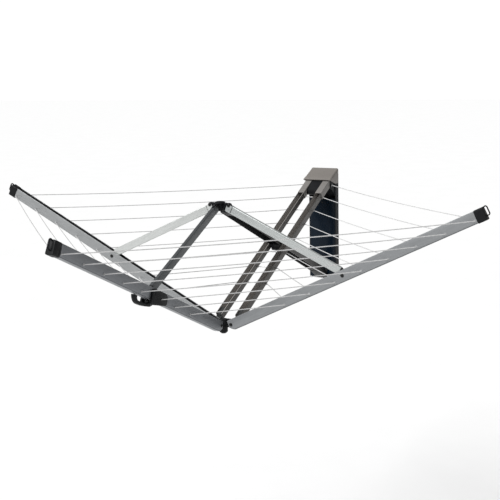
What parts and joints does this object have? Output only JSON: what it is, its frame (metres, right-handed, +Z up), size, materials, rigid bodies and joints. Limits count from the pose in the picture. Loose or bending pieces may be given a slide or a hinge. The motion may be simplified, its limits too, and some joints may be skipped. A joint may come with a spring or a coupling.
{
  "type": "clothesline",
  "caption": "Wall-mounted folding rotary-style clothesline: umbrella arms with square loops of line, carried on a twin rear channel and scissor beam from a wall plate.",
  "frame": {"origin": "centre of the four wall-screw holes, on the wall plate's back face", "axes": "+Z up, +X to the right seen from the front, the wall is the plane y = 0 and the airer reaches out along -Y"},
  "size_m": [1.8284, 1.8192, 0.4899],
  "materials": {
    "arm_grey": "satin anodised",
    "rear_grey": "satin anodised",
    "socket_grey": "satin",
    "strut_silver": "satin anodised",
    "beam_grey": "satin anodised",
    "black_plastic": "fine moulded grain",
    "dark_plastic": "fine moulded grain",
    "steel": "brushed",
    "dark_steel": "satin black",
    "plate_dark": "satin",
    "cover_navy": "gloss",
    "hood_taupe": "satin",
    "rubber_black": "matt",
    "eyelet": "satin",
    "line": "smooth plastic-coated"
  },
  "bodies": {
    "wall_bracket": {"wall_plate": "plate_dark", "wall_cover": "cover_navy", "top_hood": "hood_taupe", "pivot_bracket": "plate_dark", "pivot_axle": "steel", "lower_bumper": "rubber_black", "cover_screws": "dark_steel", "line_anchors": "eyelet"},
    "wall_arm": {"left_rear_channel": "rear_grey", "right_rear_channel": "rear_grey", "left_socket": "socket_grey", "right_socket": "socket_grey", "socket_block": "black_plastic", "scissor_axle": "steel", "scissor_caps": "black_plastic", "rear_end_fittings": "dark_plastic", "rear_hub_pin": "steel", "rear_grommets": "eyelet", "rear_arm_line": "line", "left_wall_line": "line", "right_wall_line": "line"},
    "scissor": {"scissor_beam": "beam_grey", "beam_head": "black_plastic", "scissor_bush": "black_plastic", "beam_foot": "black_plastic", "foot_pad": "rubber_black"},
    "hub": {"hub_body": "black_plastic", "hub_pins": "dark_steel"},
    "crown": {"crown_body": "black_plastic", "crown_pins": "steel"},
    "left_arm_body": {"left_arm": "arm_grey", "left_end_cap": "black_plastic", "left_grommets": "eyelet", "left_foot_pin": "steel", "left_arm_line": "line", "left_front_line": "line"},
    "right_arm_body": {"right_arm": "arm_grey", "right_end_cap": "black_plastic", "right_grommets": "eyelet", "right_foot_pin": "steel", "right_arm_line": "line", "front_right_line": "line"},
    "front_arm_body": {"front_arm": "arm_grey", "front_end_cap": "black_plastic", "front_grommets": "eyelet", "front_foot_pin": "steel", "front_arm_line": "line", "latch_housing": "black_plastic", "latch_spring": "steel", "handle_pin": "steel"},
    "latch_bolt_body": {"latch_bolt": "steel"},
    "handle_body": {"release_handle": "black_plastic"},
    "left_strut_body": {"left_strut": "strut_silver", "left_strut_ends": "black_plastic"},
    "right_strut_body": {"right_strut": "strut_silver", "right_strut_ends": "black_plastic"},
    "front_strut_body": {"front_strut": "strut_silver", "front_strut_ends": "black_plastic"}
  },
  "joints": [
    {"name": "fold", "type": "hinge", "parent": "wall_bracket", "child": "wall_arm", "pos_m": [0, -0.04638, 0.20194], "axis": [1, 0, 0], "range_deg": [0, 57], "deforming": ["left_wall_line", "right_wall_line", "left_front_line", "front_right_line", "rear_arm_line"]},
    {"name": "hub_level", "type": "hinge", "parent": "wall_arm", "child": "hub", "pos_m": [0, -0.869, -0.21], "axis": [1, 0, 0], "range_deg": [-57, 0]},
    {"name": "left_arm_lift", "type": "hinge", "parent": "hub", "child": "left_arm_body", "pos_m": [-0.036, -0.905, -0.205], "axis": [0, 1, 0], "range_deg": [0, 57]},
    {"name": "right_arm_lift", "type": "hinge", "parent": "hub", "child": "right_arm_body", "pos_m": [0.036, -0.905, -0.205], "axis": [0, -1, 0], "range_deg": [0, 57]},
    {"name": "front_arm_lift", "type": "hinge", "parent": "hub", "child": "front_arm_body", "pos_m": [0, -0.941, -0.205], "axis": [-1, 0, 0], "range_deg": [0, 57]},
    {"name": "scissor_turn", "type": "hinge", "parent": "wall_arm", "child": "scissor", "pos_m": [0, -0.45769, -0.00403], "axis": [1, 0, 0], "range_deg": [-114, 0]},
    {"name": "crown_level", "type": "hinge", "parent": "scissor", "child": "crown", "pos_m": [0, -0.869, 0.20194], "axis": [1, 0, 0], "range_deg": [0, 57]},
    {"name": "left_strut_turn", "type": "hinge", "parent": "crown", "child": "left_strut_body", "pos_m": [-0.036, -0.905, 0.20694], "axis": [0, -1, 0], "range_deg": [0, 57]},
    {"name": "right_strut_turn", "type": "hinge", "parent": "crown", "child": "right_strut_body", "pos_m": [0.036, -0.905, 0.20694], "axis": [0, 1, 0], "range_deg": [0, 57]},
    {"name": "front_strut_turn", "type": "hinge", "parent": "crown", "child": "front_strut_body", "pos_m": [0, -0.941, 0.20694], "axis": [1, 0, 0], "range_deg": [0, 57]},
    {"name": "release_pull", "type": "hinge", "parent": "front_arm_body", "child": "handle_body", "pos_m": [0, -1.35814, -0.02854], "axis": [1, 0, 0], "range_deg": [0, 20], "stiffness_Nm_per_rad": 1.2, "springref_deg": -14.32},
    {"name": "latch_slide", "type": "slide", "parent": "front_arm_body", "child": "latch_bolt_body", "axis": [0, 0.8942, -0.4478], "range_m": [0, 0.0021], "deforming": ["latch_spring"]}
  ],
  "couplings": [
    {"joint": "hub_level", "follows": "fold", "ratio": -1},
    {"joint": "left_arm_lift", "follows": "fold", "ratio": 1},
    {"joint": "right_arm_lift", "follows": "fold", "ratio": 1},
    {"joint": "front_arm_lift", "follows": "fold", "ratio": 1},
    {"joint": "scissor_turn", "follows": "fold", "ratio": -2},
    {"joint": "crown_level", "follows": "fold", "ratio": 1},
    {"joint": "left_strut_turn", "follows": "fold", "ratio": 1},
    {"joint": "right_strut_turn", "follows": "fold", "ratio": 1},
    {"joint": "front_strut_turn", "follows": "fold", "ratio": 1},
    {"joint": "latch_slide", "follows": "release_pull", "m_per_rad": 0.006}
  ]
}
